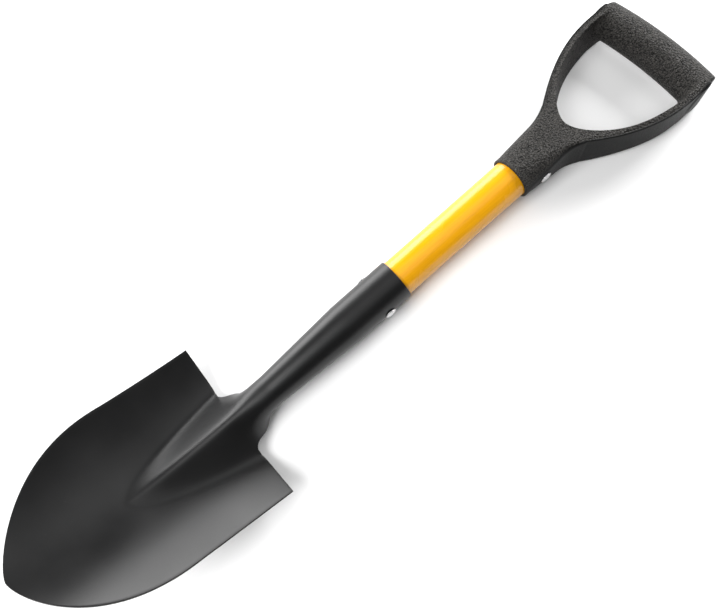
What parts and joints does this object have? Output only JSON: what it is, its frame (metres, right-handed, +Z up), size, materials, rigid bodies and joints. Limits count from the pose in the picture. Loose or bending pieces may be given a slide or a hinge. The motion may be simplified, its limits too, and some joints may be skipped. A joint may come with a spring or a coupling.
{
  "type": "round point shovel",
  "caption": "Short round point shovel: pressed steel blade with a rolled socket, fibreglass shaft and a moulded D-grip.",
  "frame": {"origin": "middle of the shovel's underside as it lies on its back with the shaft level", "axes": "+X along the shaft from the blade's point to the D-grip's crossbar, +Y across the blade, +Z up out of the blade's hollow face"},
  "size_m": [0.69, 0.158, 0.104],
  "materials": {
    "blade_steel": "satin black powder coat with light scuffs",
    "shaft_yellow": "glossy yellow pultruded fibreglass",
    "core_plastic": "plain buff stiffening core",
    "rivet_steel": "bright zinc-plated rivet",
    "grip_plastic": "black moulding with a fine pebbled grain"
  },
  "bodies": {
    "root": {"blade": "blade_steel", "shaft_tube": "shaft_yellow", "lower_core": "core_plastic", "upper_core": "core_plastic", "socket_rivet": "rivet_steel", "grip_rivet": "rivet_steel", "grip_rivet_washer": "rivet_steel", "d_grip": "grip_plastic"}
  },
  "joints": []
}
